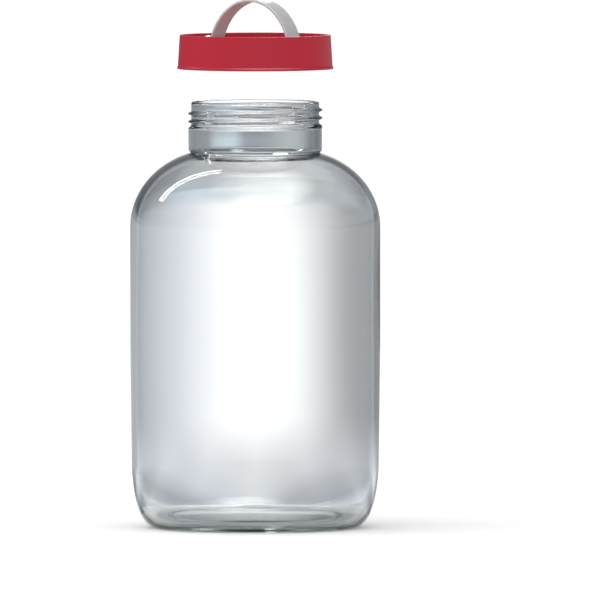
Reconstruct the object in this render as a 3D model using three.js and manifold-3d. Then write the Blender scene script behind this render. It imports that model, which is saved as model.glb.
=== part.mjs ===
// Glass pickling jar with a plastic screw lid and a carry strap, shown with the lid lifted clear of
// the neck. Millimetres, +Z up, origin at the middle of the base, strap arch in the XZ plane.
import * as THREE from 'three';
import { mergeVertices } from 'three/addons/utils/BufferGeometryUtils.js';
import Module from 'manifold-3d';

// Facets
const TURNED_SIDES = 48;
const SMALL_SIDES = 16;
const CURVE_STEPS = 8;
const CORNER_STEPS = 3;
const THREAD_STEPS_PER_TURN = 36;

// Jar body
const BODY_RADIUS = 100;
const LOWER_BODY_INSET = 1.2;
const LOWER_BODY_TOP = 150;
const HEEL_HEIGHT = 48;
const HEEL_RUN = 20.8;
const HEEL_TOE = 12;
const HEEL_KNEE_RISE = 16;
const HEEL_KNEE_INSET = 1.8;
const STAND_RING_WIDTH = 8;
const PUNT_HEIGHT = 3;
const PUNT_SLOPE_RUN = 4;
const SHOULDER_START = 241;
const SHOULDER_RUN = 70;
const SHOULDER_RISE = 62;
const GLASS_WALL = 4;
const GLASS_BASE = 6;

// Jar neck
const NECK_HEIGHT = 41;
const NECK_WALL = 3.7;
const NECK_BAND_HEIGHT = 20;
const NECK_BAND_STEP = 2.2;
const NECK_BAND_ROUND = 1.6;
const NECK_TUCK_STEP = 0.2;
const RIM_ROUND = 1.4;

// Screw thread shared by the neck and the lid
const THREAD_ROOT_RADIUS = 51.2;
const THREAD_DEPTH = 2.4;
const THREAD_LEAD = 6.4;
const THREAD_BASE_WIDTH = 3.2;
const THREAD_CREST_WIDTH = 1.4;
const THREAD_BURY = 0.8;
const THREAD_FADE_TURNS = 0.12;
const THREAD_TOP_BELOW_RIM = 4;
const NECK_THREAD_TURNS = 2.5;
const LID_THREAD_TURNS = 1.2;
const THREAD_CLEARANCE = 0.8;

// How far the lid is unscrewed and then lifted in the pose shown
const UNSCREWED_TURNS = 1.5;
const SHOWN_LIFT = 31.5;

// Lid
const LID_HEIGHT = 27.2;
const COLLAR_WALL = 1.8;
const COLLAR_SHORTER = 1.5;
const SKIRT_GAP = 2;
const SKIRT_WALL = 2.2;
const SKIRT_DRAFT = 1.6;
const SKIRT_BEAD_HEIGHT = 2.2;
const SKIRT_BEAD_STEP = 0.5;
const LID_RIM_WALL = 2.8;
const LID_EDGE_ROUND = 0.8;
const RECESS_DEPTH = 5;
const LID_PANEL = 2.2;

// Seal pieces under the lid
const GASKET_THICKNESS = 2.6;
const GASKET_WIDTH = 5.6;
const GASKET_CLEARANCE = 0.4;
const PLUG_FLANGE = 1.4;
const PLUG_WALL = 1.4;
const PLUG_DEPTH = 5.5;
const PLUG_CLEARANCE = 0.6;
const PLUG_TAPER = 0.8;

// Strap and the rivets that hold it
const STRAP_WIDTH = 20;
const STRAP_THICKNESS = 2;
const STRAP_RISE = 33.6;
const STRAP_ARCH_DEPTH = 45;
const STRAP_BEND = 3.2;
const STRAP_CORNER_ROUND = 4;
const STRAP_FOOT_MARGIN = 2.5;
const RIVET_HEAD_RADIUS = 3;
const RIVET_HEAD_HEIGHT = 1.5;
const RIVET_HEAD_MARGIN = 1;
const RIVET_SHANK_RADIUS = 1.6;
const RIVET_HOLE_CLEARANCE = 0.3;
const RIVET_TAIL_RADIUS = 2.6;
const RIVET_TAIL_HEIGHT = 0.8;
const WASHER_RADIUS = 3.6;
const WASHER_THICKNESS = 0.8;
const WASHER_CLEARANCE = 0.6;
const STACK_GAP = 0.3;

// Radii and heights that follow from the sizes above
const lowerBodyRadius = BODY_RADIUS - LOWER_BODY_INSET;
const standRadius = lowerBodyRadius - HEEL_RUN;
const shoulderCentre = BODY_RADIUS - SHOULDER_RUN;
const tuckRadius = THREAD_ROOT_RADIUS + NECK_TUCK_STEP;
const bandRadius = THREAD_ROOT_RADIUS + NECK_BAND_STEP;
const mouthRadius = THREAD_ROOT_RADIUS - NECK_WALL;
const neckBase = SHOULDER_START
  + SHOULDER_RISE * Math.sqrt(1 - ((tuckRadius - shoulderCentre) / SHOULDER_RUN) ** 2);
const rimTop = neckBase + NECK_HEIGHT;
const threadTop = rimTop - THREAD_TOP_BELOW_RIM;

const collarBore = THREAD_ROOT_RADIUS + THREAD_DEPTH + THREAD_CLEARANCE;
const collarRadius = collarBore + COLLAR_WALL;
const lidTopRadius = collarRadius + SKIRT_GAP + SKIRT_WALL;
const lidBottomRadius = lidTopRadius + SKIRT_DRAFT;
const recessFloor = LID_HEIGHT - RECESS_DEPTH;
const ceiling = recessFloor - LID_PANEL;

const unscrewedRise = UNSCREWED_TURNS * THREAD_LEAD;
const plugHeight = rimTop + STACK_GAP + SHOWN_LIFT;
const gasketHeight = plugHeight + PLUG_FLANGE + STACK_GAP + unscrewedRise;
const lidHeight = gasketHeight + GASKET_THICKNESS + STACK_GAP - ceiling;

const gasketRadius = collarBore - GASKET_CLEARANCE;
const gasketBore = gasketRadius - GASKET_WIDTH;
const rivetReach = gasketBore - WASHER_CLEARANCE - WASHER_RADIUS;
const rivetHole = RIVET_SHANK_RADIUS + RIVET_HOLE_CLEARANCE;
const strapFloor = recessFloor + STACK_GAP;
const strapHalfLength = rivetReach + RIVET_HEAD_RADIUS + STRAP_FOOT_MARGIN;
const strapHalfSpan = rivetReach - RIVET_HEAD_RADIUS - RIVET_HEAD_MARGIN - STRAP_BEND;

const wasm = await Module();
wasm.setup();

const point = (radius, height) => new THREE.Vector2(radius, height);

/** A solid that can be joined and cut, from the welded triangles of a closed geometry. */
function solidOf(geometry) {
  geometry.deleteAttribute('normal');
  geometry.deleteAttribute('uv');
  const welded = mergeVertices(geometry);
  const corners = welded.index.array;
  const triangles = [];
  for (let i = 0; i < corners.length; i += 3) {
    const [a, b, c] = corners.subarray(i, i + 3);
    if (a !== b && b !== c && c !== a) triangles.push(a, b, c);
  }
  return new wasm.Manifold(new wasm.Mesh({
    numProp: 3,
    vertProperties: Float32Array.from(welded.attributes.position.array),
    triVerts: Uint32Array.from(triangles),
  }));
}

/** A solid turned about Z; its outline runs up the outside and down the inside. */
function turned(outline, sides = TURNED_SIDES) {
  return solidOf(new THREE.LatheGeometry(outline, sides).rotateX(Math.PI / 2));
}

/** A flat ring turned about Z. */
function ring(bore, radius, bottom, thickness, sides = TURNED_SIDES) {
  const top = bottom + thickness;
  return turned(
    [point(bore, bottom), point(radius, bottom), point(radius, top), point(bore, top), point(bore, bottom)],
    sides,
  );
}

/** An upright round bar, centred on the origin's height, for drilling at x. */
function drill(radius, length, x) {
  const bar = new THREE.CylinderGeometry(radius, radius, length, SMALL_SIDES);
  return solidOf(bar.rotateX(Math.PI / 2).translate(x, 0, 0));
}

/** Height of the neck thread's middle line after turning by an angle from its lower end. */
function threadHeight(angle) {
  return threadTop + (angle / (2 * Math.PI) - NECK_THREAD_TURNS) * THREAD_LEAD;
}

/** A helical ridge on a round wall: outward on the neck, inward in the lid. Both ends fade into it. */
function threadRidge(wallRadius, outward, startAngle, turns, offset) {
  const base = THREAD_BASE_WIDTH / 2;
  const crest = THREAD_CREST_WIDTH / 2;
  const section = new THREE.Shape([
    point(-THREAD_BURY, -base),
    point(THREAD_DEPTH, -crest),
    point(THREAD_DEPTH, crest),
    point(-THREAD_BURY, base),
  ]);
  const sweep = turns * 2 * Math.PI;
  const fade = THREAD_FADE_TURNS * 2 * Math.PI;
  const steps = Math.round(turns * THREAD_STEPS_PER_TURN);
  const bar = new THREE.ExtrudeGeometry(section, { depth: sweep, steps, bevelEnabled: false });
  const place = bar.attributes.position;
  for (let i = 0; i < place.count; i += 1) {
    const along = place.getZ(i);
    const share = Math.min(1, along / fade, (sweep - along) / fade);
    const level = place.getX(i);
    const height = level > 0 ? THREE.MathUtils.lerp(-THREAD_BURY / 2, level, share) : level;
    const angle = startAngle + (outward ? sweep - along : along);
    const radius = wallRadius + (outward ? height : -height);
    const z = threadHeight(angle) + offset + place.getY(i);
    place.setXYZ(i, radius * Math.cos(angle), radius * Math.sin(angle), z);
  }
  return solidOf(bar);
}

/** Outline of the shoulder's quarter round, inset by a wall, from the body in to a radius. */
function shoulderOutline(inset, endRadius) {
  const run = SHOULDER_RUN - inset;
  const rise = SHOULDER_RISE - inset;
  const end = Math.acos((endRadius - shoulderCentre) / run);
  return new THREE.EllipseCurve(shoulderCentre, SHOULDER_START, run, rise, 0, end).getPoints(CURVE_STEPS);
}

/** Outline of the heel, from the base out and up to the lower body, inset by a wall and a base. */
function heelOutline(wall, base) {
  return new THREE.CubicBezierCurve(
    point(standRadius, base),
    point(standRadius + HEEL_TOE - wall, base),
    point(lowerBodyRadius - HEEL_KNEE_INSET - wall, HEEL_KNEE_RISE + base),
    point(lowerBodyRadius - wall, HEEL_HEIGHT),
  ).getPoints(CURVE_STEPS);
}

/** A quarter-round corner as a short arc about a centre. */
function corner(radius, height, round, startAngle, endAngle) {
  const clockwise = endAngle < startAngle;
  const arc = new THREE.EllipseCurve(radius, height, round, round, startAngle, endAngle, clockwise);
  return arc.getPoints(CORNER_STEPS);
}

function glassJar() {
  const standBore = standRadius - STAND_RING_WIDTH;
  const bandTop = neckBase + NECK_BAND_HEIGHT;
  const outline = [
    point(0, PUNT_HEIGHT),
    point(standBore - PUNT_SLOPE_RUN, PUNT_HEIGHT),
    point(standBore, 0),
    ...heelOutline(0, 0),
    point(BODY_RADIUS, LOWER_BODY_TOP),
    ...shoulderOutline(0, tuckRadius),
    ...corner(bandRadius - NECK_BAND_ROUND, neckBase + 2 * NECK_BAND_ROUND, NECK_BAND_ROUND, -Math.PI / 4, 0),
    ...corner(bandRadius - NECK_BAND_ROUND, bandTop - NECK_BAND_ROUND, NECK_BAND_ROUND, 0, Math.PI / 4),
    point(THREAD_ROOT_RADIUS, bandTop + NECK_BAND_ROUND),
    ...corner(THREAD_ROOT_RADIUS - RIM_ROUND, rimTop - RIM_ROUND, RIM_ROUND, 0, Math.PI / 2),
    ...corner(mouthRadius + RIM_ROUND, rimTop - RIM_ROUND, RIM_ROUND, Math.PI / 2, Math.PI),
    ...shoulderOutline(GLASS_WALL, mouthRadius).reverse(),
    point(BODY_RADIUS - GLASS_WALL, LOWER_BODY_TOP),
    ...heelOutline(GLASS_WALL, GLASS_BASE).reverse(),
    point(0, GLASS_BASE + PUNT_HEIGHT),
  ];
  return turned(outline).add(threadRidge(THREAD_ROOT_RADIUS, true, 0, NECK_THREAD_TURNS, 0));
}

function screwLid() {
  const beadRadius = lidBottomRadius + SKIRT_BEAD_STEP;
  const recessRadius = lidTopRadius - LID_RIM_WALL;
  const edgeHeight = LID_HEIGHT - LID_EDGE_ROUND;
  const outline = [
    point(0, ceiling),
    point(collarBore, ceiling),
    point(collarBore, COLLAR_SHORTER),
    point(collarRadius, COLLAR_SHORTER),
    point(collarRadius, ceiling),
    point(lidTopRadius - SKIRT_WALL, ceiling),
    point(lidBottomRadius - SKIRT_WALL, 0),
    ...corner(beadRadius - SKIRT_BEAD_STEP, SKIRT_BEAD_STEP, SKIRT_BEAD_STEP, -Math.PI / 2, 0),
    point(beadRadius, SKIRT_BEAD_HEIGHT - SKIRT_BEAD_STEP),
    point(lidBottomRadius, SKIRT_BEAD_HEIGHT),
    ...corner(lidTopRadius - LID_EDGE_ROUND, edgeHeight, LID_EDGE_ROUND, 0, Math.PI / 2),
    ...corner(recessRadius + LID_EDGE_ROUND, edgeHeight, LID_EDGE_ROUND, Math.PI / 2, Math.PI),
    ...corner(recessRadius - LID_EDGE_ROUND, recessFloor + LID_EDGE_ROUND, LID_EDGE_ROUND, 0, -Math.PI / 2),
    point(0, recessFloor),
  ];
  const threadStart = NECK_THREAD_TURNS * 2 * Math.PI;
  const threadOffset = THREAD_LEAD / 2 + SHOWN_LIFT - lidHeight;
  const ridge = threadRidge(collarBore, false, threadStart, LID_THREAD_TURNS, threadOffset);
  return turned(outline)
    .add(ridge)
    .subtract(drill(rivetHole, 2 * LID_HEIGHT, -rivetReach))
    .subtract(drill(rivetHole, 2 * LID_HEIGHT, rivetReach));
}

function innerPlug() {
  const wallRadius = mouthRadius - PLUG_CLEARANCE;
  const footRadius = wallRadius - PLUG_TAPER;
  return turned([
    point(0, -PLUG_DEPTH),
    point(footRadius - PLUG_WALL, -PLUG_DEPTH),
    point(footRadius, PLUG_WALL - PLUG_DEPTH),
    point(wallRadius, 0),
    point(THREAD_ROOT_RADIUS, 0),
    point(THREAD_ROOT_RADIUS, PLUG_FLANGE),
    point(wallRadius - PLUG_WALL, PLUG_FLANGE),
    point(footRadius - PLUG_WALL, PLUG_WALL - PLUG_DEPTH),
    point(0, PLUG_WALL - PLUG_DEPTH),
  ]);
}

/** Side view of the strap's middle line: a foot, a bend, the arch, a bend and a foot. */
function strapLine() {
  const foot = strapFloor + STRAP_THICKNESS / 2;
  const archCentre = recessFloor + STRAP_RISE - STRAP_THICKNESS / 2 - STRAP_ARCH_DEPTH;
  const springing = Math.asin((foot + STRAP_BEND - archCentre) / STRAP_ARCH_DEPTH);
  const legTop = strapHalfSpan * Math.cos(springing);
  const legBottom = legTop + (STRAP_BEND * strapHalfSpan * Math.tan(springing)) / STRAP_ARCH_DEPTH;
  const line = new THREE.Path();
  line.moveTo(-strapHalfLength, foot);
  line.lineTo(-legBottom - STRAP_BEND, foot);
  line.quadraticCurveTo(-legBottom, foot, -legTop, foot + STRAP_BEND);
  line.absellipse(0, archCentre, strapHalfSpan, STRAP_ARCH_DEPTH, Math.PI - springing, springing, true);
  line.quadraticCurveTo(legBottom, foot, legBottom + STRAP_BEND, foot);
  line.lineTo(strapHalfLength, foot);
  return line.getPoints(CURVE_STEPS);
}

function carryStrap() {
  const line = strapLine();
  const sideways = line.map((_, i) => {
    const along = line[Math.min(i + 1, line.length - 1)].clone().sub(line[Math.max(i - 1, 0)]).normalize();
    return point(-along.y, along.x).multiplyScalar(STRAP_THICKNESS / 2);
  });
  const outer = line.map((at, i) => at.clone().add(sideways[i]));
  const inner = line.map((at, i) => at.clone().sub(sideways[i]));
  const side = new THREE.Shape([...inner, ...outer.reverse()]);
  const band = new THREE.ExtrudeGeometry(side, { depth: STRAP_WIDTH, steps: 1, bevelEnabled: false });
  band.rotateX(Math.PI / 2).translate(0, STRAP_WIDTH / 2, 0);

  const half = STRAP_WIDTH / 2;
  const turn = STRAP_CORNER_ROUND;
  const plan = new THREE.Shape();
  plan.absarc(strapHalfLength - turn, half - turn, turn, 0, Math.PI / 2);
  plan.absarc(turn - strapHalfLength, half - turn, turn, Math.PI / 2, Math.PI);
  plan.absarc(turn - strapHalfLength, turn - half, turn, Math.PI, 1.5 * Math.PI);
  plan.absarc(strapHalfLength - turn, turn - half, turn, 1.5 * Math.PI, 2 * Math.PI);
  const block = new THREE.ExtrudeGeometry(plan, {
    depth: 2 * STRAP_RISE, steps: 1, bevelEnabled: false, curveSegments: CURVE_STEPS / 2,
  });
  block.translate(0, 0, recessFloor);

  return solidOf(band)
    .intersect(solidOf(block))
    .subtract(drill(rivetHole, 2 * (strapFloor + 2 * STRAP_THICKNESS), -rivetReach))
    .subtract(drill(rivetHole, 2 * (strapFloor + 2 * STRAP_THICKNESS), rivetReach));
}

function strapRivet() {
  const headBottom = strapFloor + STRAP_THICKNESS + STACK_GAP;
  const tailTop = ceiling - 2 * STACK_GAP - WASHER_THICKNESS;
  const tailBottom = tailTop - RIVET_TAIL_HEIGHT;
  const dome = new THREE.EllipseCurve(0, headBottom, RIVET_HEAD_RADIUS, RIVET_HEAD_HEIGHT, 0, Math.PI / 2);
  return turned([
    point(0, tailBottom),
    point(RIVET_TAIL_RADIUS, tailBottom),
    point(RIVET_TAIL_RADIUS, tailTop),
    point(RIVET_SHANK_RADIUS, tailTop),
    point(RIVET_SHANK_RADIUS, headBottom),
    ...dome.getPoints(CURVE_STEPS / 2),
  ], SMALL_SIDES);
}

function rivetWasher() {
  const bottom = ceiling - STACK_GAP - WASHER_THICKNESS;
  return ring(rivetHole, WASHER_RADIUS, bottom, WASHER_THICKNESS, SMALL_SIDES);
}

/** A named mesh from a finished solid. */
function piece(name, solid, material) {
  const { vertProperties, triVerts } = solid.getMesh();
  const geometry = new THREE.BufferGeometry();
  geometry.setAttribute('position', new THREE.BufferAttribute(vertProperties, 3));
  geometry.setIndex(new THREE.BufferAttribute(triVerts, 1));
  const mesh = new THREE.Mesh(geometry, material);
  mesh.name = name;
  return mesh;
}

const clearGlass = () => new THREE.MeshStandardMaterial({
  color: 0xdde4e6, roughness: 0.05, metalness: 0, transparent: true, opacity: 0.35,
});
const redPlastic = () => new THREE.MeshStandardMaterial({ color: 0xb12c3e, roughness: 0.32, metalness: 0 });
const whitePlastic = () => new THREE.MeshStandardMaterial({ color: 0xe6e6e4, roughness: 0.45, metalness: 0 });
const sealRubber = () => new THREE.MeshStandardMaterial({ color: 0xd8d4c8, roughness: 0.7, metalness: 0 });
const steel = () => new THREE.MeshStandardMaterial({ color: 0xb9bbbd, roughness: 0.3, metalness: 1 });

const jar = new THREE.Group();
jar.add(piece('glass_jar', glassJar(), clearGlass()));

const plug = piece('inner_plug', innerPlug(), whitePlastic());
plug.position.z = plugHeight;
jar.add(plug);

const gasket = piece('lid_gasket', ring(gasketBore, gasketRadius, 0, GASKET_THICKNESS), sealRubber());
gasket.position.z = gasketHeight;
jar.add(gasket);

const lid = new THREE.Group();
lid.position.z = lidHeight;
lid.add(piece('screw_lid', screwLid(), redPlastic()));
lid.add(piece('carry_strap', carryStrap(), whitePlastic()));
for (const [side, sign] of [['left', -1], ['right', 1]]) {
  const rivet = piece(`strap_rivet_${side}`, strapRivet(), steel());
  const washer = piece(`rivet_washer_${side}`, rivetWasher(), steel());
  rivet.position.x = sign * rivetReach;
  washer.position.x = sign * rivetReach;
  lid.add(rivet, washer);
}
jar.add(lid);

export default jar;
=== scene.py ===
"""Glass pickling jar with a red screw lid and a white carry strap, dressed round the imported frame.

Lengths in the classes are millimetres in the part's own frame: +Z up the jar's axis, +X along the
strap's arch, origin at the middle of the base. They become metres when a mesh is made.
"""

from __future__ import annotations

import logging
import math
from collections.abc import Callable
from dataclasses import dataclass
from enum import Enum

import bpy
import numpy as np
from bpy.types import Material, Node, NodeSocket, NodeTree, Object
from mathutils import Matrix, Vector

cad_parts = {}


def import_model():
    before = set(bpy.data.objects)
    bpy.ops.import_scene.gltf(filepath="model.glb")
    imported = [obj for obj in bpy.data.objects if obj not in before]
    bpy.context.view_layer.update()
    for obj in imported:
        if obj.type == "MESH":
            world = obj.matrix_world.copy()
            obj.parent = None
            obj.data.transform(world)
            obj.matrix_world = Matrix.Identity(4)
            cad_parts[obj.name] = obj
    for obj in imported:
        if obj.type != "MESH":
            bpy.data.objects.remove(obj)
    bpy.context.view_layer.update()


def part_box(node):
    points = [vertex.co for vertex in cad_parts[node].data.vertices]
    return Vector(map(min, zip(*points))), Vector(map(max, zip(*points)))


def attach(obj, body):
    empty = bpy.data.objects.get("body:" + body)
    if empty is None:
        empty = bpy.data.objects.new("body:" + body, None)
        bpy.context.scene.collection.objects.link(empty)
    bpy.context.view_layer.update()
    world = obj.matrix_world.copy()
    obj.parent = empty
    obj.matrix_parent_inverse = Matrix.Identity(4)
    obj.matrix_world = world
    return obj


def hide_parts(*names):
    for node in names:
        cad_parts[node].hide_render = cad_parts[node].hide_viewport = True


LOG = logging.getLogger("pickling_jar")
MM = 0.001
TURN = 2.0 * math.pi
SHARP_EDGE = math.radians(50.0)
BELL_REACH = 3.0
CURVE_POINTS = 49
SMALL_SIDES = 48
STAGE_SIDES = 192
THREAD_ROWS_PER_MM = 2.4
ON_WALL_MM = 0.05
ON_TOP_MM = 0.01
ON_AXIS_MM = 1e-6

Swell = Callable[[np.ndarray, np.ndarray], np.ndarray]
RowDensity = Callable[[np.ndarray], np.ndarray]


class Side(Enum):
    """The strap's two ends, by the sign of X."""

    LEFT = -1
    RIGHT = 1


class LampUse(Enum):
    """What a lamp is for: to show in gloss, or to light matt surfaces."""

    GLINT = "glint"
    FILL = "fill"


def linear(hex_colour: str) -> tuple[float, float, float, float]:
    """Turn an sRGB hex colour into linear light.

    Args:
        hex_colour: six hex digits with a leading hash.

    Returns:
        Red, green, blue and full alpha as Blender's colour sockets take them.
    """
    parts = [int(hex_colour[i : i + 2], 16) / 255.0 for i in (1, 3, 5)]
    red, green, blue = (c / 12.92 if c <= 0.04045 else ((c + 0.055) / 1.055) ** 2.4 for c in parts)
    return (red, green, blue, 1.0)


def per(spacing_mm: float) -> float:
    """Texture scale for features that lie this many millimetres apart."""
    return 1.0 / (spacing_mm * MM)


def add_node(
    tree: NodeTree, kind: str, inputs: dict[str | int, object] | None = None, **settings: object
) -> Node:
    """Add one shader node.

    Args:
        tree: the node tree.
        kind: the node's type name.
        inputs: by name or number, the plain value of an input or the output that feeds it.
        **settings: properties of the node itself.

    Returns:
        The new node.
    """
    made = tree.nodes.new(kind)
    for name, value in settings.items():
        setattr(made, name, value)
    for socket, value in (inputs or {}).items():
        if isinstance(value, NodeSocket):
            tree.links.new(value, made.inputs[socket])
        else:
            made.inputs[socket].default_value = value
    return made


def calc(tree: NodeTree, operation: str, *terms: NodeSocket | float) -> NodeSocket:
    """Add a math node on outputs and plain numbers, and give its value."""
    return add_node(tree, "ShaderNodeMath", dict(enumerate(terms)), operation=operation).outputs[0]


def noise(tree: NodeTree, place: NodeSocket, spacing_mm: float, **values: float) -> NodeSocket:
    """Add noise with features this far apart, its other inputs by name, and give its value."""
    inputs = {"Vector": place, "Scale": per(spacing_mm)} | {k.capitalize(): v for k, v in values.items()}
    return add_node(tree, "ShaderNodeTexNoise", inputs).outputs["Fac"]


def bump(tree: NodeTree, height: NodeSocket, depth_mm: float, strength: float) -> NodeSocket:
    """Add a bump of this depth that follows a height, and give its normal."""
    inputs = {"Strength": strength, "Distance": depth_mm * MM, "Height": height}
    return add_node(tree, "ShaderNodeBump", inputs).outputs["Normal"]


def remap(
    tree: NodeTree,
    value: NodeSocket,
    start: tuple[float, float],
    end: tuple[float, float] = (0.0, 1.0),
    **settings: str,
) -> NodeSocket:
    """Carry a value from one range to another, and give the result."""
    inputs = dict(zip(("Value", "From Min", "From Max", "To Min", "To Max"), (value, *start, *end)))
    return add_node(tree, "ShaderNodeMapRange", inputs, **settings).outputs["Result"]


def new_material(name: str) -> tuple[Material, NodeTree, Node, NodeSocket]:
    """Start an empty node material.

    Args:
        name: the material's name.

    Returns:
        The material, its node tree, its output node and the place on the object.
    """
    material = bpy.data.materials.new(name)
    material.use_nodes = True
    tree = material.node_tree
    tree.nodes.clear()
    output = add_node(tree, "ShaderNodeOutputMaterial")
    return material, tree, output, add_node(tree, "ShaderNodeTexCoord").outputs["Object"]


def ramp(tree: NodeTree, share: NodeSocket, *stops: tuple[float, str], blend: str = "LINEAR") -> NodeSocket:
    """Add a colour ramp.

    Args:
        tree: the node tree.
        share: what picks the place on the ramp.
        *stops: places from 0 to 1, each with its hex colour.
        blend: how the colours pass into each other.

    Returns:
        The ramp's colour.
    """
    made = add_node(tree, "ShaderNodeValToRGB", {"Fac": share})
    made.color_ramp.interpolation = blend
    elements = made.color_ramp.elements
    while len(elements) < len(stops):
        elements.new(1.0)
    for element, (place, tone) in zip(elements, stops):
        element.position = place
        element.color = linear(tone)
    return made.outputs["Color"]


def arc(centre: tuple[float, float], radii: tuple[float, float], start: float, end: float) -> np.ndarray:
    """Points on an ellipse arc, centre + (a cos t, b sin t).

    Args:
        centre: radius and height of the centre.
        radii: the two half-axes.
        start: first angle in degrees.
        end: last angle in degrees.

    Returns:
        An array of (radius, height) rows.
    """
    angle = np.radians(np.linspace(start, end, CURVE_POINTS))
    return np.column_stack((centre[0] + radii[0] * np.cos(angle), centre[1] + radii[1] * np.sin(angle)))


def bezier(*corners: tuple[float, float]) -> np.ndarray:
    """Points on a Bezier curve: the corners weighted by Bernstein polynomials.

    Args:
        *corners: the control points.

    Returns:
        An array of points from the first corner to the last.
    """
    order = len(corners) - 1
    t = np.linspace(0.0, 1.0, CURVE_POINTS)
    weights = [math.comb(order, k) * t**k * (1.0 - t) ** (order - k) for k in range(order + 1)]
    return np.stack(weights, axis=1) @ np.array(corners, float)


def lengths(points: np.ndarray) -> np.ndarray:
    """Distance travelled along a line at each of its points."""
    steps = np.linalg.norm(np.diff(points, axis=0), axis=1)
    return np.concatenate(([0.0], np.cumsum(steps)))


def at_lengths(points: np.ndarray, where: np.ndarray) -> np.ndarray:
    """Points at given distances along a line, by straight interpolation."""
    along = lengths(points)
    return np.column_stack([np.interp(where, along, points[:, k]) for k in range(points.shape[1])])


def soften(points: np.ndarray, rounding: float, step: float = 0.2) -> np.ndarray:
    """Round every corner of a line: even samples averaged under a bell curve, with both ends kept.

    Args:
        points: the line's corners.
        rounding: standard deviation of the bell curve.
        step: spacing of the samples.

    Returns:
        The rounded line, evenly sampled.
    """
    total = lengths(points)[-1]
    even = at_lengths(points, np.linspace(0.0, total, int(total / step) + 1))
    reach = max(1, int(BELL_REACH * rounding / step))
    bell = np.exp(-0.5 * (np.arange(-reach, reach + 1) * step / rounding) ** 2)
    before = 2 * even[0] - even[reach:0:-1]
    after = 2 * even[-1] - even[-2 : -reach - 2 : -1]
    padded = np.concatenate((before, even, after))
    columns = [np.convolve(padded[:, k], bell / bell.sum(), mode="valid") for k in range(2)]
    smooth = np.column_stack(columns)
    smooth[0], smooth[-1] = even[0], even[-1]
    return smooth


def settle(
    points: np.ndarray, longest: float, bend_deg: float, denser: RowDensity | None = None
) -> np.ndarray:
    """Choose rows along a finely sampled line: few where it is straight, more where it bends.

    The wanted number of rows per millimetre is 1/longest, plus the bend per millimetre over bend_deg,
    plus denser(points). Rows are placed where the running total of that passes each whole number.

    Args:
        points: the finely sampled line.
        longest: most distance between two rows.
        bend_deg: bend that asks for one more row.
        denser: extra rows per millimetre at each point.

    Returns:
        The chosen points, first and last included.
    """
    along = lengths(points)
    direction = np.unwrap(np.arctan2(np.gradient(points[:, 1]), np.gradient(points[:, 0])))
    bend = np.abs(np.gradient(direction, along)) / math.radians(bend_deg)
    wanted = 1.0 / longest + bend + (denser(points) if denser else 0.0)
    running = np.concatenate(([0.0], np.cumsum(0.5 * (wanted[1:] + wanted[:-1]) * np.diff(along))))
    rows = np.linspace(0.0, running[-1], int(math.ceil(running[-1])) + 1)
    return at_lengths(points, np.interp(rows, running, along))


@dataclass
class Surface:
    """Points in millimetres and the faces between them."""

    points: np.ndarray
    quads: np.ndarray
    triangles: np.ndarray

    def moved(self, x: float = 0.0, y: float = 0.0, z: float = 0.0) -> Surface:
        """The same surface, shifted."""
        return Surface(self.points + np.array((x, y, z)), self.quads, self.triangles)

    def piece(self, name: str, material: Material) -> Object:
        """Make a smooth-shaded object of it, at the origin with its place in its mesh.

        Args:
            name: the piece's name.
            material: its finish.

        Returns:
            The new object, linked to the scene.
        """
        mesh = bpy.data.meshes.new(name)
        faces = self.quads.tolist() + self.triangles.tolist()
        mesh.from_pydata((self.points * MM).tolist(), [], faces)
        mesh.validate()
        mesh.shade_smooth()
        mesh.set_sharp_from_angle(angle=SHARP_EDGE)
        mesh.materials.append(material)
        made = bpy.data.objects.new(name, mesh)
        bpy.context.scene.collection.objects.link(made)
        return made


def grid_quads(index: np.ndarray) -> np.ndarray:
    """Faces of a grid of point numbers whose columns wrap round."""
    after = np.roll(index, -1, axis=1)
    return np.stack((index[:-1], after[:-1], after[1:], index[1:]), axis=-1).reshape(-1, 4)


def revolve(outline: np.ndarray, sides: int, swell: Swell | None = None) -> Surface:
    """Turn an outline about Z: (r cos t, r sin t, z), with r = outline + swell(rows, t).

    The outline runs up the outside and down the inside. An end on the axis becomes a pole, and an
    outline that returns to its start becomes a ring.

    Args:
        outline: (radius, height) rows.
        sides: number of points round.
        swell: extra radius, from the outline's rows and the angles.

    Returns:
        The closed surface.
    """
    ring = bool(np.allclose(outline[0], outline[-1]))
    poles = [] if ring else [end for end in (0, -1) if outline[end, 0] < ON_AXIS_MM]
    rows = outline[:-1] if ring else outline[1 if 0 in poles else 0 : -1 if -1 in poles else None]
    angle = np.arange(sides) * TURN / sides
    radius = rows[:, :1] + (swell(rows, angle) if swell else np.zeros((1, sides)))
    height = np.broadcast_to(rows[:, 1:], radius.shape)
    points = np.stack((radius * np.cos(angle), radius * np.sin(angle), height), axis=-1).reshape(-1, 3)
    index = np.arange(len(points)).reshape(radius.shape)
    quads = grid_quads(np.vstack((index, index[:1])) if ring else index)
    fans = []
    for end in poles:
        tip = np.full(sides, len(points))
        points = np.vstack((points, (0.0, 0.0, outline[end, 1])))
        edge, after = index[end], np.roll(index[end], -1)
        fans.append(np.stack((tip, after, edge) if end == 0 else (edge, after, tip), axis=-1))
    triangles = np.vstack(fans) if fans else np.zeros((0, 3), int)
    return Surface(points, quads, triangles)


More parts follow.
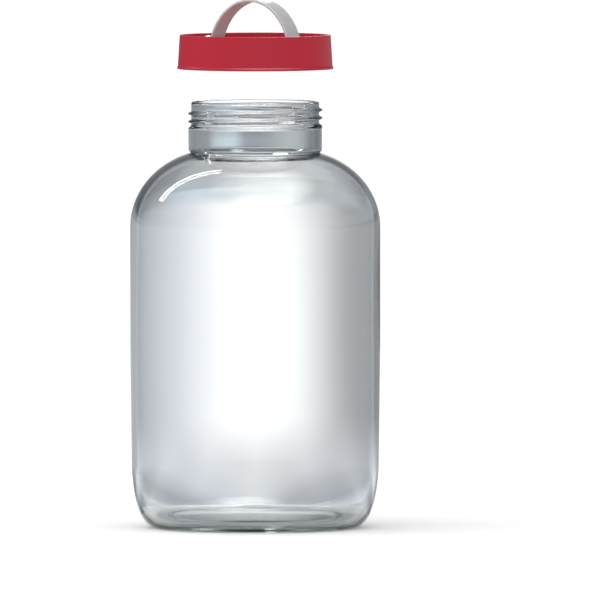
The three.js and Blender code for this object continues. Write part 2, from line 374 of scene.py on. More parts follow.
def sweep(path: np.ndarray, section: np.ndarray, width: np.ndarray, thickness: np.ndarray) -> Surface:
    """Carry a closed section along a path in the XZ plane: path + normal * u * thickness, Y = v * width.

    Args:
        path: (x, z) rows.
        section: (u, v) rows round the section, u across its thickness and v across its width.
        width: scale of v at each row of the path.
        thickness: scale of u at each row of the path.

    Returns:
        The closed surface, with a pole at each end.
    """
    along = np.gradient(path, axis=0)
    along /= np.linalg.norm(along, axis=1, keepdims=True)
    normal = np.column_stack((-along[:, 1], along[:, 0]))
    lift = section[None, :, 0] * thickness[:, None]
    x = path[:, :1] + normal[:, :1] * lift
    z = path[:, 1:] + normal[:, 1:] * lift
    y = section[None, :, 1] * width[:, None]
    points = np.stack((x, y, z), axis=-1).reshape(-1, 3)
    index = np.arange(len(points)).reshape(x.shape)
    tips = np.array([(path[end, 0], 0.0, path[end, 1]) for end in (0, -1)])
    first, last = np.full(len(section), len(points)), np.full(len(section), len(points) + 1)
    fans = (
        np.stack((first, np.roll(index[0], -1), index[0]), axis=-1),
        np.stack((index[-1], np.roll(index[-1], -1), last), axis=-1),
    )
    return Surface(np.vstack((points, tips)), grid_quads(index), np.vstack(fans))


@dataclass(frozen=True)
class ContainerGlass:
    """Soda-lime container glass, blown in a mould and fire-polished.

    It gives the eye a hard clear gloss, slow ripples where the wall cooled unevenly, and grey-green
    edges where the light runs a long way inside the wall.
    """

    name: str = "container_glass"
    tint: str = "#FBFBFB"
    ior: float = 1.5
    absorbed: tuple[float, float, float] = (0.0108, 0.0078, 0.0077)
    ripple_mm: float = 85.0
    ripple_depth_mm: float = 0.3
    smear_mm: float = 30.0
    roughness: tuple[float, float] = (0.0, 0.035)

    def material(self) -> Material:
        """Build the glass: clear transmission, absorption by depth, rippled gloss and faint smears.

        Returns:
            The material.
        """
        material, tree, output, place = new_material(self.name)
        ripple = noise(tree, place, self.ripple_mm, detail=1.0, roughness=0.35)
        smear = noise(tree, place, self.smear_mm, detail=3.0, distortion=0.8)
        shader = add_node(
            tree,
            "ShaderNodeBsdfPrincipled",
            {
                "Base Color": linear(self.tint),
                "Transmission Weight": 1.0,
                "IOR": self.ior,
                "Roughness": remap(tree, smear, (0.5, 0.8), self.roughness),
                "Normal": bump(tree, ripple, self.ripple_depth_mm, strength=0.5),
            },
        )
        density = 2.0 * max(self.absorbed)
        kept = (*(1.0 - share / density for share in self.absorbed), 1.0)
        depth = add_node(tree, "ShaderNodeVolumeAbsorption", {"Color": kept, "Density": density / MM})
        tree.links.new(shader.outputs["BSDF"], output.inputs["Surface"])
        tree.links.new(depth.outputs["Volume"], output.inputs["Volume"])
        return material


@dataclass(frozen=True)
class MouldedPlastic:
    """A moulded polymer: two close shades where the melt flowed, a fine mould grain and a satin gloss.

    Polypropylene gives the lid its waxy red, polyethylene gives the plug its white and the strap a white
    dimmed to light grey as painted shade, and a soft rubber grade gives the seal ring its dull surface.
    """

    name: str
    shade: str
    flow_shade: str
    roughness: tuple[float, float]
    ior: float = 1.49
    flow_mm: float = 22.0
    grain_mm: float = 0.9
    grain_depth_mm: float = 0.02
    glow: float = 0.0
    glow_reach_mm: float = 2.0

    def material(self) -> Material:
        """Build the plastic: flow-marked colour, grained bump, patchy gloss and a little inner glow.

        Returns:
            The material.
        """
        material, tree, output, place = new_material(self.name)
        flow = noise(tree, place, self.flow_mm, detail=2.0, distortion=0.4)
        grain = noise(tree, place, self.grain_mm, detail=2.0)
        shader = add_node(
            tree,
            "ShaderNodeBsdfPrincipled",
            {
                "IOR": self.ior,
                "Subsurface Weight": self.glow,
                "Subsurface Radius": (self.glow_reach_mm * MM,) * 3,
                "Subsurface Scale": 1.0,
                "Base Color": ramp(tree, flow, (0.2, self.shade), (0.8, self.flow_shade)),
                "Roughness": remap(tree, flow, (0.2, 0.8), self.roughness),
                "Normal": bump(tree, grain, self.grain_depth_mm, strength=0.6),
            },
        )
        tree.links.new(shader.outputs["BSDF"], output.inputs["Surface"])
        return material


@dataclass(frozen=True)
class StainlessSteel:
    """Stainless steel, headed cold and tumbled: bright, with fine scratches that blur its gloss."""

    name: str = "tumbled_stainless_steel"
    shade: str = "#C6C8CA"
    scratch_mm: float = 0.35
    scratch_depth_mm: float = 0.01
    roughness: tuple[float, float] = (0.2, 0.38)

    def material(self) -> Material:
        """Build the steel: metal with scratched gloss and a faint bump.

        Returns:
            The material.
        """
        material, tree, output, place = new_material(self.name)
        scratch = noise(tree, place, self.scratch_mm, detail=4.0)
        shader = add_node(
            tree,
            "ShaderNodeBsdfPrincipled",
            {
                "Base Color": linear(self.shade),
                "Metallic": 1.0,
                "Roughness": remap(tree, scratch, (0.3, 0.7), self.roughness),
                "Normal": bump(tree, scratch, self.scratch_depth_mm, strength=0.3),
            },
        )
        tree.links.new(shader.outputs["BSDF"], output.inputs["Surface"])
        return material


@dataclass(frozen=True)
class ScrewThread:
    """The right-hand thread that the neck and the lid share.

    The lid's ridge is set off by nesting, a share of the lead, so that it passes between the neck's.
    """

    lead: float = 6.4
    nesting: float = 0.5
    depth: float = 2.4
    crest_half: float = 0.45
    base_half: float = 1.95
    fade_turns: float = 0.12

    def ridge(
        self, height: np.ndarray, angle: np.ndarray, end_height: float, end_turn: float, turns: float
    ) -> np.ndarray:
        """Ridge height on a round wall: a rounded bank along z = end - (end_turn - s) * lead, s in turns.

        Args:
            height: heights of the wall's rows, in a column.
            angle: angles round the wall.
            end_height: height of the ridge's upper end.
            end_turn: turns at that end, counted from +X.
            turns: how many turns the ridge runs.

        Returns:
            The ridge's height above the wall, by row and angle.
        """
        share = angle[None, :] / TURN
        lap = np.round((height - end_height) / self.lead + end_turn - share)
        place = lap + share
        offset = np.abs(height - end_height - (place - end_turn) * self.lead)
        slope = np.clip((offset - self.crest_half) / (self.base_half - self.crest_half), 0.0, 1.0)
        run = np.minimum(place - (end_turn - turns), end_turn - place)
        fade = np.clip(run / self.fade_turns, 0.0, 1.0)
        return self.depth * fade * 0.5 * (1.0 + np.cos(math.pi * slope))


@dataclass
class GlassJar:
    """The blown glass jar: heel, body, shoulder and threaded neck."""

    glass: Material
    thread: ScrewThread
    rim_top: float
    sides: int = 168
    body_radius: float = 100.0
    lower_inset: float = 1.2
    lower_top: float = 150.0
    heel_height: float = 48.0
    heel_run: float = 20.8
    heel_toe: float = 12.0
    heel_knee_rise: float = 16.0
    heel_knee_inset: float = 1.8
    stand_width: float = 8.0
    punt_height: float = 3.0
    punt_run: float = 4.0
    shoulder_start: float = 241.0
    shoulder_run: float = 70.0
    shoulder_rise: float = 62.0
    wall: float = 4.0
    base: float = 6.0
    root_radius: float = 51.2
    neck_height: float = 41.0
    neck_wall: float = 3.7
    band_height: float = 20.0
    band_step: float = 2.2
    band_round: float = 1.6
    tuck_step: float = 0.2
    rim_round: float = 1.7
    thread_drop: float = 4.0
    thread_margin: float = 2.0
    thread_turns: float = 2.5
    corner_soft: float = 0.7
    wall_wave: float = 0.15
    wave_lengths: tuple[float, float] = (61.0, 37.0)
    second_wave: float = 0.6
    second_wave_turn: float = 1.3

    def heel(self, wall: float, base: float) -> np.ndarray:
        """The heel's curve, moved in by a wall and up by a base.

        Args:
            wall: how far it is moved in.
            base: how far its foot is moved up.

        Returns:
            (radius, height) rows, from the standing ring up.
        """
        lower = self.body_radius - self.lower_inset
        stand = lower - self.heel_run
        return bezier(
            (stand, base),
            (stand + self.heel_toe - wall, base),
            (lower - self.heel_knee_inset - wall, self.heel_knee_rise + base),
            (lower - wall, self.heel_height),
        )

    def shoulder(self, inset: float, end_radius: float) -> np.ndarray:
        """The shoulder's ellipse from the body in to a radius, moved in by a wall.

        Args:
            inset: how far it is moved in.
            end_radius: radius at which it ends.

        Returns:
            (radius, height) rows, from the body up.
        """
        centre = self.body_radius - self.shoulder_run
        run = self.shoulder_run - inset
        end = math.degrees(math.acos((end_radius - centre) / run))
        return arc((centre, self.shoulder_start), (run, self.shoulder_rise - inset), 0.0, end)

    def outline(self) -> np.ndarray:
        """The glass section: under the base, up the outside, over the rim and down the inside.

        Returns:
            (radius, height) rows, closer together where the glass bends and along the thread.
        """
        neck_base = self.rim_top - self.neck_height
        band_top = neck_base + self.band_height
        band = self.root_radius + self.band_step
        mouth = self.root_radius - self.neck_wall
        stand_bore = self.body_radius - self.lower_inset - self.heel_run - self.stand_width
        turn = self.rim_round
        corners = np.vstack(
            (
                (0.0, self.punt_height),
                (stand_bore - self.punt_run, self.punt_height),
                (stand_bore, 0.0),
                self.heel(0.0, 0.0),
                (self.body_radius, self.lower_top),
                self.shoulder(0.0, self.root_radius + self.tuck_step),
                (band, neck_base + self.band_round),
                (band, band_top),
                (self.root_radius, band_top + self.band_round),
                arc((self.root_radius - turn, self.rim_top - turn), (turn, turn), 0.0, 90.0),
                arc((mouth + turn, self.rim_top - turn), (turn, turn), 90.0, 180.0),
                self.shoulder(self.wall, mouth)[::-1],
                (self.body_radius - self.wall, self.lower_top),
                self.heel(self.wall, self.base)[::-1],
                (0.0, self.base + self.punt_height),
            )
        )
        fine = soften(corners, self.corner_soft)
        inside = np.cumsum(fine[:, 1] >= self.rim_top - ON_TOP_MM) > 0

        def thread_rows(points: np.ndarray) -> np.ndarray:
            """Rows per millimetre that the thread asks for, on the outside of the neck."""
            threaded = (points[:, 1] > band_top - self.thread_margin) & ~inside
            return np.where(threaded, THREAD_ROWS_PER_MM, 0.0)

        return settle(fine, longest=4.0, bend_deg=4.0, denser=thread_rows)

    def swell(self, rows: np.ndarray, angle: np.ndarray) -> np.ndarray:
        """Extra radius: the neck's thread outside, and a slow unevenness of the wall inside.

        Args:
            rows: the outline's (radius, height) rows.
            angle: angles round the jar.

        Returns:
            The extra radius, by row and angle.
        """
        peak = int(np.argmax(rows[:, 1]))
        outside = (np.arange(len(rows)) <= peak)[:, None]
        height = rows[:, 1:]
        ridge = self.thread.ridge(
            height, angle, self.rim_top - self.thread_drop, self.thread_turns, self.thread_turns
        )
        body = np.clip((rows[:, :1] - self.root_radius) / (self.body_radius - self.root_radius), 0.0, 1.0)
        first, second = (height / length for length in self.wave_lengths)
        wave = np.sin(2.0 * angle + first)
        wave += self.second_wave * np.sin(3.0 * angle - second + self.second_wave_turn)
        return np.where(outside, ridge, self.wall_wave * body * wave)

    def build(self) -> Object:
        """Make the jar, and let it stand for its node.

        Returns:
            The jar.
        """
        made = revolve(self.outline(), self.sides, self.swell).piece("jar_glass", self.glass)
        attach(made, "jar")
        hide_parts("glass_jar")
        return made


@dataclass
class ScrewLid:
    """The red lid: recessed top, plain skirt, threaded collar inside."""

    plastic: Material
    thread: ScrewThread
    bottom: float
    thread_end: float
    sides: int = 192
    height: float = 27.2
    collar_bore: float = 54.4
    collar_wall: float = 1.8
    collar_shorter: float = 1.5
    skirt_gap: float = 2.0
    skirt_wall: float = 2.2
    skirt_draft: float = 1.6
    bead_height: float = 2.2
    bead_step: float = 0.5
    rim_wall: float = 2.8
    recess_depth: float = 5.0
    panel: float = 2.2
    bead_blend: float = 0.1
    corner_soft: float = 0.32
    neck_turns: float = 2.5
    thread_turns: float = 1.2

    def outline(self) -> np.ndarray:
        """The lid's section: along the ceiling, round collar and skirt, up the outside, over the top.

        Returns:
            (radius, height) rows, closer together where the lid bends and along the thread.
        """
        collar = self.collar_bore + self.collar_wall
        top = collar + self.skirt_gap + self.skirt_wall
        low = top + self.skirt_draft
        recess = top - self.rim_wall
        floor = self.height - self.recess_depth
        ceiling = floor - self.panel
        corners = np.array(
            (
                (0.0, ceiling),
                (self.collar_bore, ceiling),
                (self.collar_bore, self.collar_shorter),
                (collar, self.collar_shorter),
                (collar, ceiling),
                (top - self.skirt_wall, ceiling),
                (low - self.skirt_wall, 0.0),
                (low + self.bead_step, 0.0),
                (low + self.bead_step, self.bead_height - self.bead_step),
                (low - self.bead_blend, self.bead_height),
                (top, self.height),
                (recess, self.height),
                (recess, floor),
                (0.0, floor),
            )
        )
        fine = soften(corners, self.corner_soft, step=0.1) + np.array((0.0, self.bottom))

        def thread_rows(points: np.ndarray) -> np.ndarray:
            """Rows per millimetre that the thread asks for, on the collar's bore."""
            return THREAD_ROWS_PER_MM * self.on_bore(points[:, 0])

        return settle(fine, longest=6.0, bend_deg=9.0, denser=thread_rows)

    def on_bore(self, radius: np.ndarray) -> np.ndarray:
        """1 at each radius that lies on the collar's bore, and 0 elsewhere."""
        return (np.abs(radius - self.collar_bore) < ON_WALL_MM).astype(float)

    def swell(self, rows: np.ndarray, angle: np.ndarray) -> np.ndarray:
        """Less radius where the collar's thread stands inwards.

        Args:
            rows: the outline's (radius, height) rows.
            angle: angles round the lid.

        Returns:
            The extra radius, by row and angle.
        """
        end_turn = self.neck_turns + self.thread_turns
        ridge = self.thread.ridge(rows[:, 1:], angle, self.thread_end, end_turn, self.thread_turns)
        return -self.on_bore(rows[:, :1]) * ridge

    def build(self) -> Object:
        """Make the lid, and let it stand for its node.

        Returns:
            The lid.
        """
        made = revolve(self.outline(), self.sides, self.swell).piece("lid_shell", self.plastic)
        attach(made, "lid")
        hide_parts("screw_lid")
        return made


@dataclass
class CarryStrap:
    """The flat strap that arches over the lid, with a riveted foot at each end."""

    plastic: Material
    steel: Material
    lid_bottom: float
    recess_floor: float = 22.2
    ceiling: float = 20.0
    width: float = 20.0
    thickness: float = 2.0
    rise: float = 33.6
    arch_depth: float = 45.0
    half_span: float = 37.0
    bend: float = 3.2
    half_length: float = 49.7
    corner_round: float = 4.0
    edge_bead: float = 0.25
    bead_start: float = 0.72
    bead_run: float = 0.14
    squareness: float = 0.35
    end_round: float = 0.9
    thinnest: float = 0.02
    path_points: int = 261
    section_points: int = 72
    stack_gap: float = 0.3
    rivet_reach: float = 44.2
    head_radius: float = 3.0
    head_height: float = 1.5
    shank_radius: float = 1.6
    tail_radius: float = 2.6
    tail_height: float = 0.8
    washer_radius: float = 3.6
    washer_bore: float = 1.9
    washer_thickness: float = 0.8

    def path(self) -> np.ndarray:
        """The strap's middle line in the XZ plane: foot, bend, half ellipse, bend and foot.

        Returns:
            (x, z) rows, evenly spaced.
        """
        foot = self.recess_floor + self.stack_gap + self.thickness / 2.0
        centre = self.recess_floor + self.rise - self.thickness / 2.0 - self.arch_depth
        spring = math.asin((foot + self.bend - centre) / self.arch_depth)
        leg_top = self.half_span * math.cos(spring)
        leg_bottom = leg_top + self.bend * self.half_span * math.tan(spring) / self.arch_depth
        angle = math.degrees(spring)
        half = np.vstack(
            (
                (-self.half_length, foot),
                bezier((-leg_bottom - self.bend, foot), (-leg_bottom, foot), (-leg_top, foot + self.bend)),
                arc((0.0, centre), (self.half_span, self.arch_depth), 180.0 - angle, 90.0),
            )
        )
        line = np.vstack((half, half[-2::-1] * (-1.0, 1.0))) + np.array((0.0, self.lid_bottom))
        total = lengths(line)[-1]
        return at_lengths(line, np.linspace(0.0, total, self.path_points))

    def section(self) -> np.ndarray:
        """The strap's section: a flat band with rounded, slightly thicker edges.

        Returns:
            (u, v) rows, u across the thickness and v across the width.
        """
        angle = np.linspace(0.0, TURN, self.section_points, endpoint=False)
        round_section = np.stack((np.cos(angle), np.sin(angle)))
        across, up = np.sign(round_section) * np.abs(round_section) ** self.squareness
        edge = np.clip((np.abs(across) - self.bead_start) / self.bead_run, 0.0, 1.0)
        bead = 1.0 + self.edge_bead * edge**2 * (3.0 - 2.0 * edge)
        return np.column_stack((up * bead * self.thickness / 2.0, across * self.width / 2.0))

    def strap(self) -> Object:
        """Make the strap: its section carried along its path, with round-cornered feet.

        Returns:
            The strap.
        """
        path = self.path()
        along = lengths(path)
        to_end = np.minimum(along, along[-1] - along)
        turn = self.corner_round
        inset = turn - np.sqrt(np.maximum(turn**2 - np.maximum(turn - to_end, 0.0) ** 2, 0.0))
        width = 1.0 - inset / (self.width / 2.0)
        lip = np.clip(to_end / self.end_round, 0.0, 1.0)
        thickness = np.sqrt(np.maximum(1.0 - (1.0 - lip) ** 2, self.thinnest))
        made = sweep(path, self.section(), width, thickness).piece("strap_band", self.plastic)
        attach(made, "lid")
        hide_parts("carry_strap")
        return made

    def fastening(self, outline: np.ndarray, side: Side) -> Surface:
        """Turn an outline about the rivet's axis at one end of the strap."""
        return revolve(outline, SMALL_SIDES).moved(side.value * self.rivet_reach, z=self.lid_bottom)

    def rivet(self, side: Side) -> Object:
        """Make one rivet: a domed head on the foot, a shank and a flat tail under the washer.

        Args:
            side: the strap's end that it holds.

        Returns:
            The rivet.
        """
        head = self.recess_floor + 2.0 * self.stack_gap + self.thickness
        tail = self.ceiling - 2.0 * self.stack_gap - self.washer_thickness
        corners = np.vstack(
            (
                (0.0, tail - self.tail_height),
                (self.tail_radius, tail - self.tail_height),
                (self.tail_radius, tail),
                (self.shank_radius, tail),
                (self.shank_radius, head),
                arc((0.0, head), (self.head_radius, self.head_height), 0.0, 90.0),
            )
        )
        outline = settle(soften(corners, rounding=0.1, step=0.05), longest=1.0, bend_deg=12.0)
        made = self.fastening(outline, side).piece(f"rivet_{side.name.lower()}", self.steel)
        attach(made, "lid")
        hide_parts(f"strap_rivet_{side.name.lower()}")
        return made

    def washer(self, side: Side) -> Object:
        """Make one washer: a flat ring with its edges broken.

        Args:
            side: the strap's end that it serves.

        Returns:
            The washer.
        """
        top = self.ceiling - self.stack_gap
        low = top - self.washer_thickness
        bore, rim = self.washer_bore, self.washer_radius
        corners = np.array(((bore, low), (rim, low), (rim, top), (bore, top), (bore, low)))
        outline = settle(soften(corners, rounding=0.08, step=0.05), longest=1.0, bend_deg=15.0)
        outline[-1] = outline[0]
        made = self.fastening(outline, side).piece(f"washer_{side.name.lower()}", self.steel)
        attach(made, "lid")
        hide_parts(f"rivet_washer_{side.name.lower()}")
        return made

    def build(self) -> list[Object]:
        """Make the strap and both its fastenings."""
        return [self.strap(), *(make(side) for side in Side for make in (self.rivet, self.washer))]


@dataclass
class LidSeal:
    """The pieces that close the mouth: a shallow plug and the seal ring above it."""

    plug_plastic: Material
    rubber: Material
    flange_bottom: float
    gasket_bottom: float
    sides: int = 160
    flange_radius: float = 51.2
    flange: float = 1.4
    plug_radius: float = 46.9
    plug_taper: float = 0.8
    plug_wall: float = 1.4
    plug_depth: float = 5.5
    gasket_radius: float = 54.0
    gasket_bore: float = 48.4
    gasket_thickness: float = 2.6

    def plug(self) -> Object:
        """Make the plug: a shallow cup with a flange, turned about the axis.

        Returns:
            The plug.
        """
        foot = self.plug_radius - self.plug_taper
        inner = self.plug_wall - self.plug_depth
        corners = np.array(
            (
                (0.0, -self.plug_depth),
                (foot - self.plug_wall, -self.plug_depth),
                (foot, inner),
                (self.plug_radius, 0.0),
                (self.flange_radius, 0.0),
                (self.flange_radius, self.flange),
                (self.plug_radius - self.plug_wall, self.flange),
                (foot - self.plug_wall, inner),
                (0.0, inner),
            )
        )
        outline = settle(soften(corners, rounding=0.25, step=0.1), longest=6.0, bend_deg=10.0)
        shape = revolve(outline, self.sides).moved(z=self.flange_bottom)
        made = shape.piece("mouth_plug", self.plug_plastic)
        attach(made, "plug")
        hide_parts("inner_plug")
        return made

    def gasket(self) -> Object:
        """Make the seal ring, with its edges rounded.

        Returns:
            The seal ring.
        """
        bore, rim, top = self.gasket_bore, self.gasket_radius, self.gasket_thickness
        corners = np.array(((bore, 0.0), (rim, 0.0), (rim, top), (bore, top), (bore, 0.0)))
        outline = settle(soften(corners, rounding=0.3, step=0.1), longest=2.0, bend_deg=10.0)
        outline[-1] = outline[0]
        made = revolve(outline, self.sides).moved(z=self.gasket_bottom).piece("seal_ring", self.rubber)
        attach(made, "seal")
        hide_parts("lid_gasket")
        return made

    def build(self) -> list[Object]:
        """Make the plug and the seal ring."""
        return [self.plug(), self.gasket()]


@dataclass(frozen=True)
class ToneRing:
    """Tones round the light bowl: angles to the right of its middle, each with a tone, once per sector.

    Between its two heights the ring takes the place of the one below it. The lowest ring needs none.
    """

    stops: tuple[tuple[float, str], ...]
    from_mm: tuple[float, float] = (0.0, 0.0)
    sectors: int = 1

    def colour(self, tree: NodeTree, turns: NodeSocket) -> NodeSocket:
        """Add the ring's colour ramp.

        Args:
            tree: the node tree.
            turns: whole turns to the right of the bowl's middle.

        Returns:
            The ramp's colour.
        """
        along = calc(tree, "MULTIPLY_ADD", turns, self.sectors, 0.5)
        across = calc(tree, "FLOORED_MODULO", along, 1.0)
        width = 360.0 / self.sectors
        places = [(0.5 + angle / width, tone) for angle, tone in self.stops]
        return ramp(tree, across, *places, blend="CARDINAL")


@dataclass(frozen=True)
class LightBowl:
    """The glowing cloth bowl that the glass is seen against and mirrors, with a glow on its ceiling.

    It lies round the jar and turns up into a wall. Its rings of tones follow each other by height:
    plain cloth low down; a white panel behind the body, with blue-grey cloth to its left and grey to
    its right; dull cloth with a pale patch behind the neck; duller cloth behind the threads; cloth
    with a light middle above them; and dark cloth at the top. It casts no shadow, lights no matt
    surface and stays out of shot.
    """

    middle_deg: float
    radius_mm: float = 1000.0
    bore_mm: float = 112.0
    top_mm: float = 1100.0
    bend_mm: float = 160.0
    strength: float = 1.5
    wall_rise: float = 0.941
    floor_rise: float = 0.0534
    plain: ToneRing = ToneRing(
        (
            (-22.5, "#999BA0"), (-11.0, "#B8BAC1"), (-5.0, "#C4C5CB"), (0.0, "#CACBCC"),
            (5.0, "#B8B9BC"), (9.0, "#A6A7AB"), (22.5, "#999BA0"),
        ),
        sectors=8,
    )
    lit: ToneRing = ToneRing(
        (
            (-180.0, "#C8C9CC"), (-60.0, "#A0A2A7"), (-16.0, "#A0A2A8"), (-7.4, "#BABCC4"),
            (-5.0, "#CDCFD4"), (-3.0, "#E4E4E6"), (-1.6, "#F2F2F2"), (1.8, "#F2F2F2"), (3.0, "#DFDFDF"),
            (5.0, "#B8B9BA"), (7.4, "#949596"), (14.0, "#8A8B8D"), (28.0, "#7E8082"), (60.0, "#8C8E90"),
            (180.0, "#C8C9CC"),
        ),
        from_mm=(40.0, 94.0),
    )
    neck: ToneRing = ToneRing(
        (
            (-180.0, "#8A8F94"), (-40.0, "#7C8084"), (-16.0, "#8A8E92"), (-9.5, "#8E9296"),
            (-7.5, "#ACB6BC"), (-2.8, "#BCC8CE"), (-1.7, "#959A9F"), (1.0, "#93989D"), (4.5, "#A8ABAE"),
            (8.0, "#A2A5A8"), (16.0, "#7A7D80"), (40.0, "#6C7074"), (180.0, "#8A8F94"),
        ),
        from_mm=(272.0, 300.0),
    )
    mouth: ToneRing = ToneRing(
        (
            (-180.0, "#8A8F94"), (-40.0, "#7C8084"), (-9.5, "#888C90"), (-7.5, "#98A0A5"),
            (-2.8, "#A0A8AD"), (-1.7, "#7E8388"), (1.0, "#7E8388"), (3.0, "#A0A3A6"), (8.0, "#A2A5A8"),
            (16.0, "#7A7D80"), (40.0, "#6C7074"), (180.0, "#8A8F94"),
        ),
        from_mm=(310.0, 318.0),
    )
    upper: ToneRing = ToneRing(
        (
            (-180.0, "#8C8E91"), (-60.0, "#56585C"), (-20.0, "#5A5C60"), (-7.0, "#8E9094"),
            (0.0, "#B8B9BB"), (5.0, "#B6B7B8"), (12.0, "#86888A"), (24.0, "#78797C"), (60.0, "#909294"),
            (180.0, "#8C8E91"),
        ),
        from_mm=(334.0, 348.0),
    )
    top: ToneRing = ToneRing(
        (
            (-180.0, "#6C6E71"), (-60.0, "#56585C"), (0.0, "#5E6064"), (60.0, "#56585C"),
            (180.0, "#6C6E71"),
        ),
        from_mm=(450.0, 560.0),
    )
    glow_place_mm: tuple[float, float] = (430.0, 150.0)
    glow_core_mm: float = 200.0
    glow_edge_mm: float = 800.0
    glow: float = 7.2
    ceiling_glow: float = 0.4

    def material(self) -> Material:
        """Emission by angle and by height, where height also counts the distance from the jar.

        Returns:
            The material.
        """
        material, tree, output, place = new_material("glowing_cloth")
        axes = add_node(tree, "ShaderNodeSeparateXYZ", {"Vector": place}).outputs
        angle = calc(tree, "ARCTAN2", axes["Y"], axes["X"])
        turns = calc(tree, "MULTIPLY_ADD", angle, -1.0 / TURN, self.middle_deg / 360.0)
        level_only = {0: place, 1: (1.0, 1.0, 0.0)}
        flat = add_node(tree, "ShaderNodeVectorMath", level_only, operation="MULTIPLY")
        away = add_node(tree, "ShaderNodeVectorMath", {0: flat.outputs[0]}, operation="LENGTH")
        far = calc(tree, "MULTIPLY", away.outputs["Value"], self.floor_rise)
        level = calc(tree, "MULTIPLY_ADD", axes["Z"], self.wall_rise, far)
        colour = self.plain.colour(tree, turns)
        for ring in (self.lit, self.neck, self.mouth, self.upper, self.top):
            start, end = ring.from_mm
            share = remap(tree, level, (start * MM, end * MM), interpolation_type="SMOOTHSTEP")
            inputs = {0: share, 6: colour, 7: ring.colour(tree, turns)}
            colour = add_node(tree, "ShaderNodeMix", inputs, data_type="RGBA").outputs[2]
        glow = add_node(tree, "ShaderNodeEmission", {"Strength": self.strength, "Color": colour})
        tree.links.new(glow.outputs["Emission"], output.inputs["Surface"])
        return material

    def ceiling_material(self) -> Material:
        """Emission that is strongest at one place, in front of the jar, and dies away evenly round it.

        Returns:
            The material.
        """
        material, tree, output, place = new_material("glowing_ceiling")
        turn = math.radians(self.middle_deg)
        forward, sideways = self.glow_place_mm
        spot = (
            MM * (sideways * math.sin(turn) - forward * math.cos(turn)),
            MM * (-sideways * math.cos(turn) - forward * math.sin(turn)),
            MM * self.top_mm,
        )
        away = add_node(tree, "ShaderNodeVectorMath", {0: place, 1: spot}, operation="DISTANCE")
        strength = remap(
            tree,
            away.outputs["Value"],
            (self.glow_core_mm * MM, self.glow_edge_mm * MM),
            (self.glow, self.ceiling_glow),
            interpolation_type="SMOOTHSTEP",
        )
        glow = add_node(tree, "ShaderNodeEmission", {"Strength": strength})
        tree.links.new(glow.outputs["Emission"], output.inputs["Surface"])
        return material

    def build(self) -> None:
        """Make the bowl, flat round the jar with a round bend and an upright wall, and its ceiling."""
        bend = self.bend_mm
        outline = np.vstack(
            (
                (self.bore_mm, 1.0),
                arc((self.radius_mm - bend, bend + 1.0), (bend, bend), -90.0, 0.0),
                (self.radius_mm, self.top_mm),
            )
        )
        cover = np.array(((self.radius_mm, self.top_mm), (0.0, self.top_mm)))
        bowl = revolve(outline, STAGE_SIDES).piece("light_bowl", self.material())
        ceiling = revolve(cover, STAGE_SIDES).piece("light_ceiling", self.ceiling_material())
        for made in (bowl, ceiling):
            made.visible_camera = False
            made.visible_diffuse = False
            made.visible_shadow = False


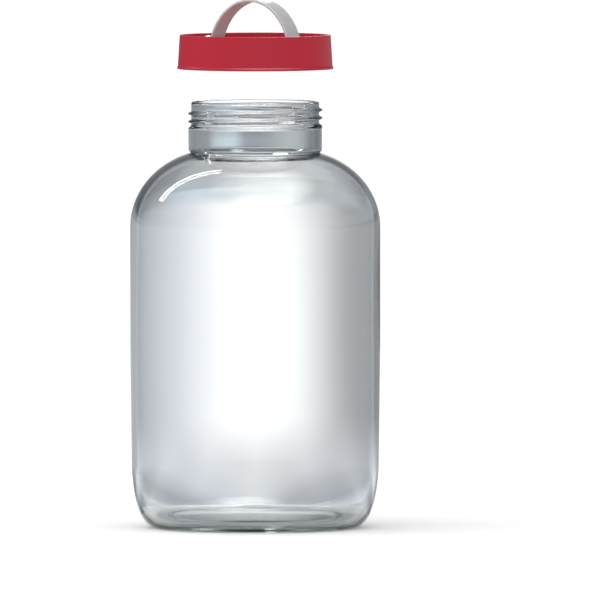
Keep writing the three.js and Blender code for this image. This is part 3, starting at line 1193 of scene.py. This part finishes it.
@dataclass
class Studio:
    """The pale floor, the lights, the bowl of light round the jar, and the camera."""

    azimuth_deg: float = 30.0
    elevation_deg: float = 2.6
    distance_mm: float = 16000.0
    frame_mm: float = 480.0
    aim_right_mm: float = 35.8
    aim_height_mm: float = 182.0
    floor_reach_mm: float = 90000.0
    floor_fibre_mm: float = 3.0
    sky: float = 1.08
    lamp_distance_mm: float = 850.0
    lamp_target_mm: float = 270.0

    @property
    def away(self) -> np.ndarray:
        """Level direction in which the camera looks."""
        turn = math.radians(self.azimuth_deg)
        return np.array((-math.sin(turn), math.cos(turn), 0.0))

    @property
    def right(self) -> np.ndarray:
        """Level direction to the camera's right."""
        return np.cross(self.away, (0.0, 0.0, 1.0))

    def floor(self) -> None:
        """Make the floor: a wide flat sheet of matt pale card."""
        material, tree, output, place = new_material("pale_card_floor")
        fibre = noise(tree, place, self.floor_fibre_mm, detail=3.0)
        shader = add_node(
            tree,
            "ShaderNodeBsdfPrincipled",
            {
                "Base Color": ramp(tree, fibre, (0.3, "#F8F8F8"), (0.7, "#FBFBFB")),
                "Roughness": 0.9,
                "Specular IOR Level": 0.0,
            },
        )
        tree.links.new(shader.outputs["BSDF"], output.inputs["Surface"])
        corners = np.array(((-1, -1, 0), (1, -1, 0), (1, 1, 0), (-1, 1, 0))) * self.floor_reach_mm
        made = Surface(corners, np.array(((0, 1, 2, 3),)), np.zeros((0, 3), int)).piece("floor", material)

    def lamp(
        self,
        name: str,
        start_deg: tuple[float, float],
        end_deg: tuple[float, float],
        use: LampUse,
        width_mm: float,
        glow: float,
    ) -> None:
        """Hang a long soft box whose face looks at the jar's shoulder.

        Args:
            name: the lamp's name.
            start_deg: where one end hangs: bearing to the left of the camera, and rise.
            end_deg: where the other end hangs.
            use: what it is for.
            width_mm: width of its face.
            glow: brightness of its face.
        """
        ends = []
        for bearing, rise in np.radians((start_deg, end_deg)):
            level = -self.away * math.cos(bearing) - self.right * math.sin(bearing)
            ends.append(level * math.cos(rise) + np.array((0.0, 0.0, math.sin(rise))))
        start, end = np.array(ends) * self.lamp_distance_mm
        length = float(np.linalg.norm(end - start))
        along = (end - start) / length
        middle = 0.5 * (start + end)
        back = middle - along * (middle @ along)
        back /= np.linalg.norm(back)
        light = bpy.data.lights.new(name, "AREA")
        light.shape = "RECTANGLE"
        light.size, light.size_y = length * MM, width_mm * MM
        light.energy = glow * math.pi * light.size * light.size_y
        made = bpy.data.objects.new(name, light)
        bpy.context.scene.collection.objects.link(made)
        place = (middle + np.array((0.0, 0.0, self.lamp_target_mm))) * MM
        turned = np.eye(4)
        turned[:3] = np.column_stack((along, np.cross(back, along), back, place))
        made.matrix_world = Matrix(turned.tolist())
        made.visible_camera = False
        made.visible_diffuse = use is LampUse.FILL
        made.visible_glossy = use is LampUse.GLINT
        made.visible_transmission = use is LampUse.GLINT

    def lights(self) -> None:
        """Set the even sky and hang the soft boxes."""
        world = bpy.data.worlds.new("even_sky")
        world.use_nodes = True
        sky = world.node_tree.nodes["Background"]
        sky.inputs["Color"].default_value = (1.0, 1.0, 1.0, 1.0)
        sky.inputs["Strength"].default_value = self.sky
        bpy.context.scene.world = world
        self.lamp("left_arch", (109.0, 22.6), (136.4, 67.8), LampUse.GLINT, width_mm=42.0, glow=10.0)
        self.lamp("back_bar", (-154.0, 72.0), (-175.0, 24.0), LampUse.GLINT, width_mm=50.0, glow=10.0)
        self.lamp("front_fill", (-20.0, 62.0), (60.0, 62.0), LampUse.FILL, width_mm=500.0, glow=1.2)
        self.lamp("left_fill", (60.0, 25.0), (110.0, 25.0), LampUse.FILL, width_mm=400.0, glow=1.6)

    def camera(self) -> None:
        """Place the camera at the photograph's bearing, far off with a long lens."""
        data = bpy.data.cameras.new("photo_camera")
        data.sensor_width = 36.0
        data.lens = data.sensor_width * self.distance_mm / self.frame_mm
        data.clip_end = 3.0 * self.floor_reach_mm * MM
        made = bpy.data.objects.new("photo_camera", data)
        bpy.context.scene.collection.objects.link(made)
        dip = math.radians(self.elevation_deg)
        aim = self.right * self.aim_right_mm + np.array((0.0, 0.0, self.aim_height_mm))
        back = -self.away * math.cos(dip) + np.array((0.0, 0.0, math.sin(dip)))
        made.location = (aim + back * self.distance_mm) * MM
        made.rotation_euler = (math.pi / 2.0 - dip, 0.0, math.radians(self.azimuth_deg))
        bpy.context.scene.camera = made

    def build(self) -> None:
        """Set the whole stage."""
        self.floor()
        LightBowl(middle_deg=self.azimuth_deg + 90.0).build()
        self.lights()
        self.camera()
        bpy.context.scene.view_settings.view_transform = "Standard"


def main() -> None:
    """Load the frame, build every piece on it, log each piece's face count and set the stage."""
    logging.basicConfig(level=logging.INFO, format="%(name)s: %(message)s")
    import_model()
    thread = ScrewThread()
    red = MouldedPlastic("polypropylene_red", "#A9132B", "#A21128", (0.26, 0.34), ior=1.45)
    # The strap's white polyethylene is set to a light grey: painted shade, darker than its own white.
    white = MouldedPlastic(
        "polyethylene_white_painted_shade", "#AEAFAF", "#A7A8A8", (0.36, 0.46), glow=0.9, glow_reach_mm=6.0
    )
    milky = MouldedPlastic("polyethylene_milky", "#E6E6E1", "#DDDDD7", (0.45, 0.6), glow=0.25)
    rubber = MouldedPlastic("seal_rubber", "#D9D3C4", "#CFC8B8", (0.62, 0.74), ior=1.42)
    steel = StainlessSteel().material()

    rim_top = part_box("glass_jar")[1].z / MM
    lid_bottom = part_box("screw_lid")[0].z / MM
    flange_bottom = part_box("inner_plug")[1].z / MM - LidSeal.flange
    gasket_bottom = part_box("lid_gasket")[0].z / MM
    shown_lift = flange_bottom - rim_top - CarryStrap.stack_gap
    neck_end = rim_top - GlassJar.thread_drop
    lid_thread_end = neck_end + (ScrewThread.nesting + ScrewLid.thread_turns) * thread.lead + shown_lift

    pieces = [GlassJar(ContainerGlass().material(), thread, rim_top).build()]
    pieces.append(ScrewLid(red.material(), thread, lid_bottom, lid_thread_end).build())
    pieces += CarryStrap(white.material(), steel, lid_bottom).build()
    pieces += LidSeal(milky.material(), rubber.material(), flange_bottom, gasket_bottom).build()
    for piece in pieces:
        LOG.info("%s: %d faces", piece.name, len(piece.data.polygons))
    Studio().build()


if __name__ == "__main__":
    main()
